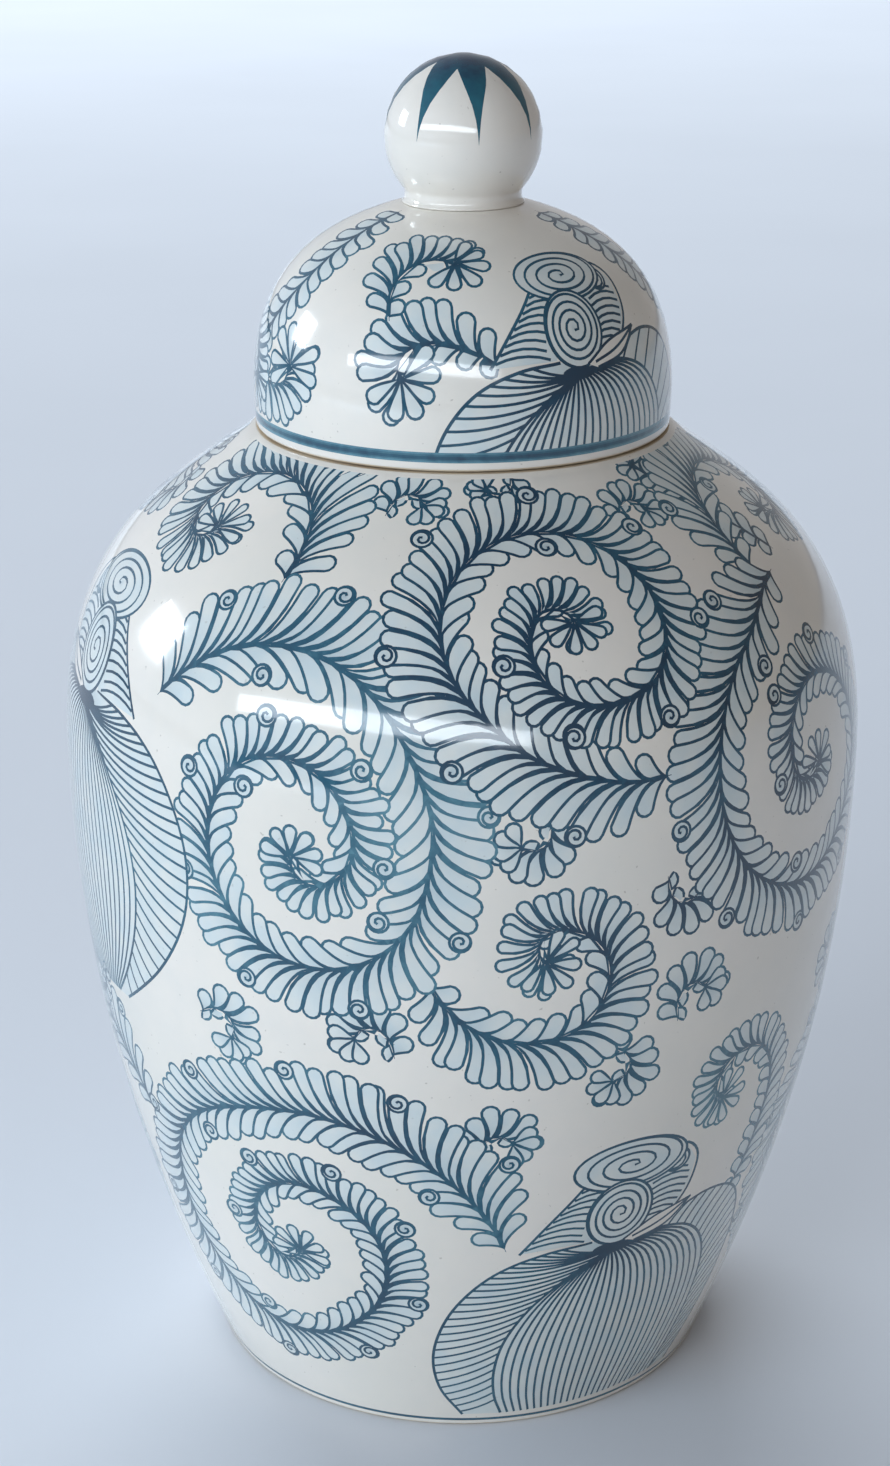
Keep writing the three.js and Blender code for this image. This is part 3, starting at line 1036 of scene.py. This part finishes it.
def smoothed(mesh, normals):
    """Joins the sheets of a mesh where they meet, and gives its corners the true surface's normals."""
    carried = mesh.attributes.new("smooth", "FLOAT_VECTOR", "POINT")
    carried.data.foreach_set("vector", normals.astype(np.float32).ravel())
    work = bmesh.new()
    work.from_mesh(mesh)
    bmesh.ops.remove_doubles(work, verts=work.verts, dist=WELD)
    work.to_mesh(mesh)
    work.free()
    mesh.polygons.foreach_set("use_smooth", np.ones(len(mesh.polygons), bool))
    smooth = np.zeros(len(mesh.vertices) * 3, np.float32)
    mesh.attributes["smooth"].data.foreach_get("vector", smooth)
    mesh.attributes.remove(mesh.attributes["smooth"])
    mesh.normals_split_custom_set_from_vertices(smooth.reshape(-1, 3).tolist())


def turned_piece(name, painting, materials, bare):
    """The finished mesh of one turned piece. bare says where the plain sheets have the last material."""
    surface = painting.surface
    sheets = [*wall_sheets(painting), *plain_sheets(surface, bare)]
    all_places, all_faces, kinds, paints, maps = zip(*sheets)
    starts = np.cumsum([0] + [len(places) for places in all_places])
    faces = []
    for part, start in zip(all_faces, starts):
        faces += (part + start).tolist()
    turn, along = np.vstack(all_places).T

    mesh = bpy.data.meshes.new(name)
    mesh.from_pydata((surface.place(turn, along) * MM).tolist(), [], faces)
    for material in materials:
        mesh.materials.append(material)
    mesh.polygons.foreach_set("material_index", np.concatenate(kinds).astype(np.int32))
    paint_layer = mesh.attributes.new("paint", "FLOAT_VECTOR", "CORNER")
    paint_layer.data.foreach_set("vector", np.vstack(paints).astype(np.float32).ravel())
    uv = mesh.uv_layers.new(name="OFBake")
    uv.data.foreach_set("uv", np.vstack(maps).astype(np.float32).ravel())
    smoothed(mesh, surface.normal(turn, along))
    return placed(name, mesh)


def placed(name, data):
    """A new object in the scene."""
    made = bpy.data.objects.new(name, data)
    bpy.context.scene.collection.objects.link(made)
    return made


# ---------------------------------------------------------------- materials
def rgb(hex_colour):
    """A colour as it looks on a screen, in linear light."""
    values = [int(hex_colour[i : i + 2], 16) / 255 for i in (0, 2, 4)]
    return (*[v / 12.92 if v <= 0.04045 else ((v + 0.055) / 1.055) ** 2.4 for v in values], 1)


class Shader:
    """A material made of nodes, with short ways to add the ones used here."""

    def __init__(self, name, **sockets):
        self.material = bpy.data.materials.new(name)
        self.material.use_nodes = True
        self.tree = self.material.node_tree
        self.surface = self.tree.nodes["Principled BSDF"]
        for socket, value in sockets.items():
            self.surface.inputs[socket.replace("_", " ")].default_value = value
        self.where = self.node("ShaderNodeTexCoord").outputs["Object"]

    def node(self, kind, inputs=(), **settings):
        made = self.tree.nodes.new(kind)
        for key, value in settings.items():
            setattr(made, key, value)
        for key, value in dict(inputs).items():
            if isinstance(value, bpy.types.NodeSocket):
                self.tree.links.new(value, made.inputs[key])
            else:
                made.inputs[key].default_value = value
        return made

    def noise(self, scale, detail=2.0, roughness=0.5):
        inputs = {"Vector": self.where, "Scale": scale, "Detail": detail, "Roughness": roughness}
        return self.node("ShaderNodeTexNoise", inputs).outputs["Fac"]

    def span(self, value, from_low, from_high, to_low=0.0, to_high=1.0):
        inputs = {"From Min": from_low, "From Max": from_high, "To Min": to_low, "To Max": to_high}
        return self.node("ShaderNodeMapRange", {"Value": value, **inputs}).outputs["Result"]

    def mix(self, factor, a, b):
        made = self.node("ShaderNodeMix", data_type="RGBA")
        for socket, value in ((made.inputs[0], factor), (made.inputs[6], a), (made.inputs[7], b)):
            if isinstance(value, bpy.types.NodeSocket):
                self.tree.links.new(value, socket)
            else:
                socket.default_value = value
        return made.outputs[2]

    def math(self, operation, a, b):
        return self.node("ShaderNodeMath", {0: a, 1: b}, operation=operation).outputs[0]

    def paint(self):
        """How light the ink is, and how much colour has pooled there."""
        read = self.node("ShaderNodeAttribute", attribute_name="paint").outputs["Vector"]
        parts = self.node("ShaderNodeSeparateXYZ", {0: read})
        return parts.outputs[0], parts.outputs[1]

    def bump(self, height, distance, below=None):
        inputs = {"Height": height, "Distance": distance, "Strength": 1.0}
        if below:
            inputs["Normal"] = below
        return self.node("ShaderNodeBump", inputs).outputs["Normal"]

    def finish(self, colour, roughness, normal):
        for socket, value in (("Base Color", colour), ("Roughness", roughness), ("Normal", normal)):
            self.tree.links.new(value, self.surface.inputs[socket])
        return self.material


def glaze(name):
    """A clear, slightly wavy glaze, before its colour: the shader, its roughness and its normal."""
    shader = Shader(name, Coat_Weight=0.5, Coat_Roughness=0.03, IOR=1.5)
    swell = shader.noise(42, 1)
    ripple = shader.noise(210, 2)
    peel = shader.noise(1500, 2)
    normal = shader.bump(peel, 0.000003, shader.bump(ripple, 0.000012, shader.bump(swell, 0.00009)))
    roughness = shader.span(shader.noise(70, 3), 0.3, 0.7, 0.075, 0.13)
    return shader, roughness, normal


def specked(shader, colour, strength=0.35):
    """Tiny iron specks and pinholes in a glaze."""
    speck = shader.span(shader.noise(900, 1), 0.755, 0.80, 0, strength)
    return shader.mix(speck, colour, rgb("6d5c49"))


def cream_glaze():
    shader, roughness, normal = glaze("cream_glaze")
    warm = shader.mix(shader.span(shader.noise(16, 3), 0.35, 0.65), rgb("e3ddd1"), rgb("e9e1d6"))
    cloud = shader.span(shader.noise(120, 4, 0.6), 0.35, 0.75, 0, 0.30)
    colour = shader.mix(cloud, warm, rgb("d8d6cf"))
    return shader.finish(specked(shader, colour), roughness, normal)


def wash_glaze():
    shader, roughness, normal = glaze("blue_wash_glaze")
    _, pool = shader.paint()
    pale = shader.mix(shader.span(shader.noise(150, 3), 0.35, 0.7), rgb("d8dad4"), rgb("cad4d4"))
    uneven = shader.span(shader.noise(90, 2), 0.3, 0.7, 0.4, 0.8)
    depth = shader.math("MULTIPLY", shader.math("POWER", pool, 1.6), uneven)
    colour = shader.mix(depth, pale, rgb("8fa8b2"))
    return shader.finish(specked(shader, colour, 0.2), roughness, normal)


def ink_glaze():
    shader, roughness, normal = glaze("cobalt_ink_glaze")
    tone, pool = shader.paint()
    patch = shader.span(shader.noise(26, 2), 0.3, 0.7, -0.25, 0.25)
    grain = shader.span(shader.noise(500, 3), 0.3, 0.7, -0.12, 0.12)
    light = shader.math("ADD", shader.math("ADD", tone, patch), grain)
    light = shader.math("SUBTRACT", light, shader.math("MULTIPLY", pool, 0.25))
    ramp = shader.node("ShaderNodeValToRGB", {"Fac": light})
    stops = ramp.color_ramp.elements
    stops[0].position, stops[0].color = 0.0, rgb("14384e")
    stops[1].position, stops[1].color = 1.0, rgb("5a8a97")
    middle = stops.new(0.45)
    middle.color = rgb("25586c")
    return shader.finish(ramp.outputs["Color"], roughness, normal)


def bare_clay():
    shader = Shader("bare_clay", Coat_Weight=0.0, IOR=1.45)
    grain = shader.noise(1300, 4, 0.7)
    colour = shader.mix(shader.span(shader.noise(60, 3), 0.35, 0.65), rgb("d9cbb4"), rgb("c7b59b"))
    colour = shader.mix(shader.span(grain, 0.6, 0.75, 0, 0.35), colour, rgb("8f7a60"))
    return shader.finish(colour, shader.span(grain, 0.3, 0.7, 0.7, 0.9), shader.bump(grain, 0.00004))


def petal_glaze():
    shader, roughness, normal = glaze("teal_petal_glaze")
    _, pool = shader.paint()
    brushed = shader.span(shader.noise(420, 3), 0.3, 0.7, 0, 0.35)
    depth = shader.math("ADD", shader.math("MULTIPLY", pool, 0.8), brushed)
    return shader.finish(shader.mix(depth, rgb("1d6070"), rgb("10304a")), roughness, normal)


def table_top():
    shader = Shader("pale_table", Coat_Weight=0.0, IOR=1.4, Specular_IOR_Level=0.0)
    cloud = shader.span(shader.noise(3, 3), 0.3, 0.7)
    colour = shader.mix(cloud, rgb("dee2e8"), rgb("dbdfe5"))
    bumps = shader.bump(shader.noise(30, 2), 0.0001)
    return shader.finish(colour, shader.span(shader.noise(8, 3), 0.3, 0.7, 0.34, 0.42), bumps)


# ---------------------------------------------------------------- the knob's petals
# Degrees from the knob's pole, and half widths in millimetres
PETALS = 4
PETAL_FIRST = 11
PETAL_STEP = 45
PETAL_REACH = 89
PETAL_DOWN = (8, 14, 20, 27, 36, 45, 54, 63, 71, 78)
PETAL_HALF_WIDTHS = (1.4, 2.4, 3.0, 3.0, 2.6, 1.95, 1.15, 0.55, 0.22, 0.02)
PETAL_TONE = 0.3
CAP_DOWN = 15
CAP_WAVE = 2


def paint_knob(surface):
    """Dark petals hanging from the crown, each ending in a needle."""
    painting = Painting(surface, (0.5, 0.0))
    pole = surface.high + KNOB_RADIUS * math.radians(90 - KNOB_WALL_TO)
    per_degree = KNOB_RADIUS * math.radians(1)
    turns = np.linspace(-REPEAT / 2 - 0.1, REPEAT / 2 + 0.1, 73)
    cap = np.column_stack([turns, pole - per_degree * (CAP_DOWN + CAP_WAVE * np.sin(4 * turns + 1))])
    top = np.array([(turns[-1], surface.high + 2), (turns[0], surface.high + 2)])
    for i in range(PETALS):
        turn = math.remainder(math.radians(PETAL_FIRST + PETAL_STEP * i) + RNG.normal(0, 0.02), REPEAT)
        reach = PETAL_REACH + RNG.normal(0, 1.2)
        down = np.array(PETAL_DOWN) * reach / PETAL_DOWN[-1]
        half = np.array(PETAL_HALF_WIDTHS)
        bow = RNG.normal(0, 0.35)
        along = pole - per_degree * down
        radius = surface.radius_at(along)
        lean = bow * np.sin(down / PETAL_DOWN[-1] * math.pi)
        right = np.column_stack([turn + (lean + half) / radius, along])
        left = np.column_stack([turn + (lean - half) / radius, along])
        deepest = (turn, pole - per_degree * 22)
        painting.paint(np.vstack([right[::-1], left]), INK, PETAL_TONE, deepest, 9)
    painting.shapes.append((np.vstack([cap, top]), INK, PETAL_TONE, (0, pole), 400))
    return painting


# ---------------------------------------------------------------- the pieces
lid_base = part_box("lid")[0].z / MM
knob_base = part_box("lid_knob")[0].z / MM

cream, wash, ink, clay = cream_glaze(), wash_glaze(), ink_glaze(), bare_clay()
petal = petal_glaze()


def jar_bare(radius, height):
    """The foot ring's underside, and the seat that the lid rests on."""
    foot = (height < 0.7) & (radius > 50)
    seat = (abs(height - SEAT_HEIGHT) < 0.3) & (radius < SEAT_RADIUS - 0.3) & (radius > NECK_RADIUS + 0.8)
    return foot | seat


def lid_bare(radius, height):
    """The rim that rests on the seat."""
    return (height < lid_base + 0.6) & (radius > 40)


def knob_tip(radius, height):
    """The petals' colour closes over the knob's very top, above its painted wall."""
    return (height > knob_base + KNOB_RADIUS) & (radius < 2)


jar = turned_piece("jar_body_painted", paint_body(body_surface()), [cream, wash, ink, clay], jar_bare)
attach(jar, "jar")
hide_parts("jar_body")

lid = turned_piece("lid_painted", paint_lid(lid_surface(lid_base)), [cream, wash, ink, clay], lid_bare)
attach(lid, "lid")
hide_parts("lid")

knob_painting = paint_knob(knob_surface(knob_base))
knob = turned_piece("lid_knob_painted", knob_painting, [cream, wash, petal, petal], knob_tip)
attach(knob, "lid")
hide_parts("lid_knob")


# ---------------------------------------------------------------- the studio
def table(name, size, material):
    """The flat square surface that the jar stands on."""
    mesh = bpy.data.meshes.new(name)
    grid = bmesh.new()
    bmesh.ops.create_grid(grid, x_segments=8, y_segments=8, size=size / 2)
    grid.to_mesh(mesh)
    grid.free()
    mesh.materials.append(material)
    placed(name, mesh)


LIT_POINT = Vector((0, 0, 0.18))
DAYLIGHT = (0.84, 0.92, 1.0)
SKYLIGHT = (0.66, 0.83, 1.0)


def soft_light(name, azimuth, elevation, distance, size, power, colour, lights, reflects):
    """An area light round the jar. Azimuth 0 is in front of it, and positive is to its right. It can light
    things, or show as a reflection, or both."""
    light = bpy.data.lights.new(name, "AREA")
    light.shape = "RECTANGLE"
    light.size, light.size_y = size
    light.energy = power
    light.color = colour
    made = placed(name, light)
    a, e = math.radians(azimuth), math.radians(elevation)
    away = Vector((math.sin(a) * math.cos(e), -math.cos(a) * math.cos(e), math.sin(e)))
    made.location = LIT_POINT + distance * away
    made.rotation_euler = (-away).to_track_quat("-Z", "Y").to_euler()
    made.visible_diffuse = lights
    made.visible_glossy = reflects


table("table", 30, table_top())

# The two glints only show as reflections, and the other lights only light things.
soft_light("window_glint", -104, 17, 1.3, (0.28, 0.30), 8, DAYLIGHT, False, True)
soft_light("strip_glint", -24, 19, 1.7, (3.0, 0.22), 16, DAYLIGHT, False, True)
soft_light("key", -42, 22, 2.2, (1.8, 1.2), 22, DAYLIGHT, True, False)
soft_light("low_fill", -56, 2, 2.2, (1.6, 0.5), 15, SKYLIGHT, True, False)
soft_light("back", 195, 34, 5.0, (4.5, 2.5), 185, DAYLIGHT, True, False)


def studio_air(left, right, strength, overhead):
    """The light all round: one colour at the left, another at the right, and less of it overhead."""
    world = bpy.data.worlds.new("studio")
    world.use_nodes = True
    tree = world.node_tree
    background = tree.nodes["Background"]

    def span(value, from_low, to_low, to_high):
        made = tree.nodes.new("ShaderNodeMapRange")
        for socket, number in (("From Min", from_low), ("To Min", to_low), ("To Max", to_high)):
            made.inputs[socket].default_value = number
        tree.links.new(value, made.inputs["Value"])
        return made.outputs["Result"]

    split = tree.nodes.new("ShaderNodeSeparateXYZ")
    tree.links.new(tree.nodes.new("ShaderNodeTexCoord").outputs["Generated"], split.inputs[0])
    ramp = tree.nodes.new("ShaderNodeValToRGB")
    tree.links.new(span(split.outputs["X"], -1, 0, 1), ramp.inputs["Fac"])
    ramp.color_ramp.elements[0].color = left
    ramp.color_ramp.elements[1].color = right
    tree.links.new(ramp.outputs["Color"], background.inputs["Color"])
    fading = span(split.outputs["Z"], 0, strength, strength * overhead)
    tree.links.new(fading, background.inputs["Strength"])
    return world


bpy.context.scene.world = studio_air(rgb("dce6f6"), rgb("8a7f72"), 1.0, 0.38)
bpy.context.scene.view_settings.view_transform = "Standard"

# The camera stands two jar heights away and looks down on the jar.
CAMERA_PLACE = (-0.0039, -0.5986, 0.3692)
CAMERA_DOWN = 20.36
camera_data = bpy.data.cameras.new("camera")
camera_data.sensor_fit = "VERTICAL"
camera_data.sensor_height = 36
camera_data.lens = 68.2
camera_data.clip_end = 50
camera = placed("camera", camera_data)
camera.location = CAMERA_PLACE
camera.rotation_euler = (math.radians(90 - CAMERA_DOWN), 0, 0)
bpy.context.scene.camera = camera
